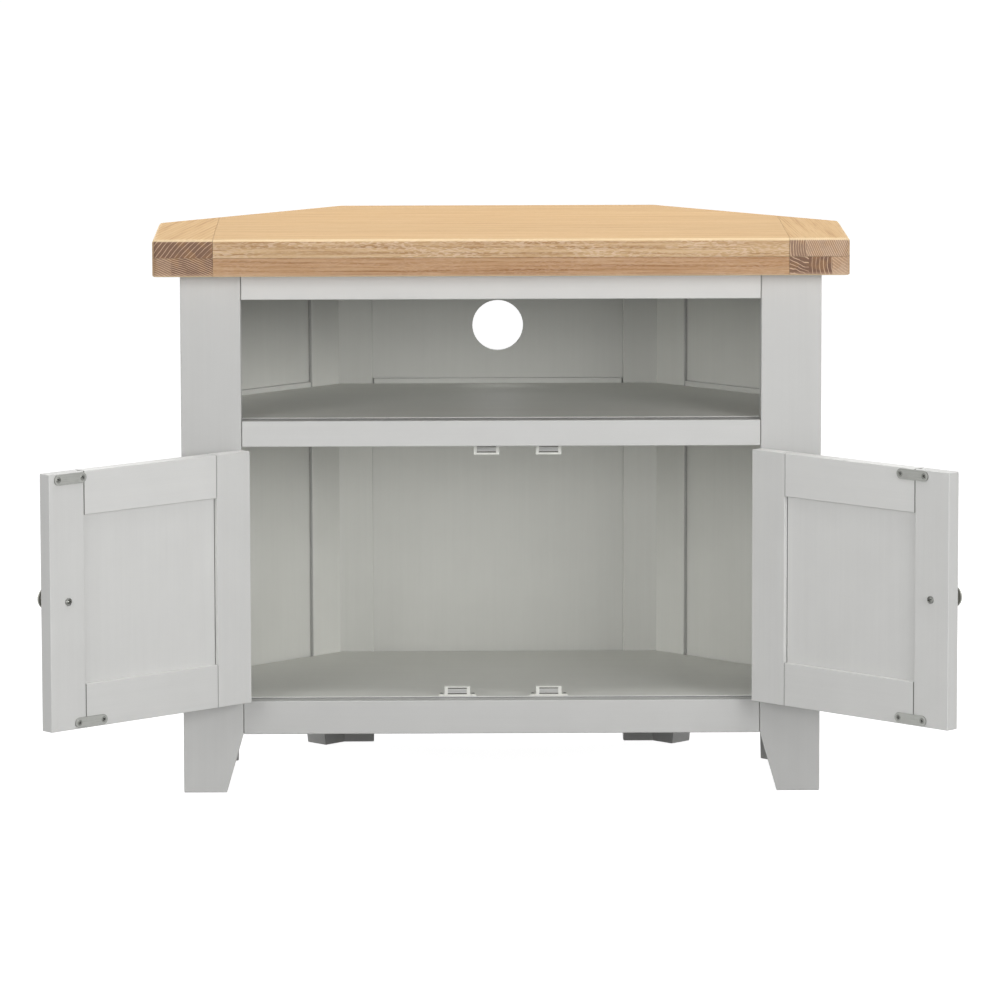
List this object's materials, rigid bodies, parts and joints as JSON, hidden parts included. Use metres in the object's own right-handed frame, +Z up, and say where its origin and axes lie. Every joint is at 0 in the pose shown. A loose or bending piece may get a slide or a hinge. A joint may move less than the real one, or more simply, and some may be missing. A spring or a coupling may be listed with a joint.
{
  "type": "corner tv cabinet",
  "caption": "Corner TV cabinet with an oak top, an open bay with a cable hole, and a lower cupboard behind framed and panelled doors on butt hinges.",
  "frame": {"origin": "on the floor under the middle of the whole cabinet's bounding box, with the doors open as at rest", "axes": "+Z up, +X to the right seen from the front, +Y from the front towards the wall corner"},
  "size_m": [1.0466, 0.6078, 0.649],
  "materials": {
    "painted_wood": "satin pale warm grey paint",
    "oak": "oiled oak, long grain",
    "oak_ends": "oiled oak, end grain to the front",
    "knob_metal": "satin pewter-coloured nickel",
    "zinc_steel": "satin zinc plate",
    "catch_plastic": "pale moulded plastic"
  },
  "bodies": {
    "carcass": {"top_field": "oak", "top_front_edging": "oak", "top_under_board": "oak", "top_end_board_right": "oak_ends", "top_end_board_left": "oak_ends", "top_under_end_right": "oak_ends", "top_under_end_left": "oak_ends", "leg_front_right": "painted_wood", "leg_front_left": "painted_wood", "post_middle_right": "painted_wood", "post_middle_left": "painted_wood", "post_back_right": "painted_wood", "post_back_left": "painted_wood", "side_board_right": "painted_wood", "side_board_left": "painted_wood", "panel_side_right": "painted_wood", "panel_side_left": "painted_wood", "panel_back": "painted_wood", "rail_bottom_side_right": "painted_wood", "rail_bottom_side_left": "painted_wood", "rail_bottom_back": "painted_wood", "shelf_strip_side_right": "painted_wood", "shelf_strip_side_left": "painted_wood", "shelf_strip_back": "painted_wood", "rail_bottom_front": "painted_wood", "rail_shelf_front": "painted_wood", "rail_top_front": "painted_wood", "board_bottom": "painted_wood", "board_shelf": "painted_wood", "hinge_leg_upper_left": "zinc_steel", "hinge_leg_upper_right": "zinc_steel", "hinge_leg_lower_left": "zinc_steel", "hinge_leg_lower_right": "zinc_steel", "catch_upper_left": "catch_plastic", "catch_upper_right": "catch_plastic", "catch_lower_left": "catch_plastic", "catch_lower_right": "catch_plastic"},
    "door_left": {"door_left_stile_hinge": "painted_wood", "door_left_stile_lock": "painted_wood", "door_left_rail_upper": "painted_wood", "door_left_rail_lower": "painted_wood", "door_left_panel": "painted_wood", "door_left_knob": "knob_metal", "door_left_knob_screw": "zinc_steel", "door_left_strike_upper": "zinc_steel", "door_left_strike_lower": "zinc_steel", "door_left_hinge_leaf_upper": "zinc_steel", "door_left_hinge_leaf_lower": "zinc_steel"},
    "door_right": {"door_right_stile_hinge": "painted_wood", "door_right_stile_lock": "painted_wood", "door_right_rail_upper": "painted_wood", "door_right_rail_lower": "painted_wood", "door_right_panel": "painted_wood", "door_right_knob": "knob_metal", "door_right_knob_screw": "zinc_steel", "door_right_strike_upper": "zinc_steel", "door_right_strike_lower": "zinc_steel", "door_right_hinge_leaf_upper": "zinc_steel", "door_right_hinge_leaf_lower": "zinc_steel"}
  },
  "joints": [
    {"name": "door_left_hinge", "type": "hinge", "parent": "carcass", "child": "door_left", "pos_m": [-0.29674, -0.07938, 0.25625], "axis": [0, 0, 1], "range_deg": [-32, 138]},
    {"name": "door_right_hinge", "type": "hinge", "parent": "carcass", "child": "door_right", "pos_m": [0.30486, -0.07938, 0.25625], "axis": [0, 0, 1], "range_deg": [-135.4, 34.6]}
  ]
}
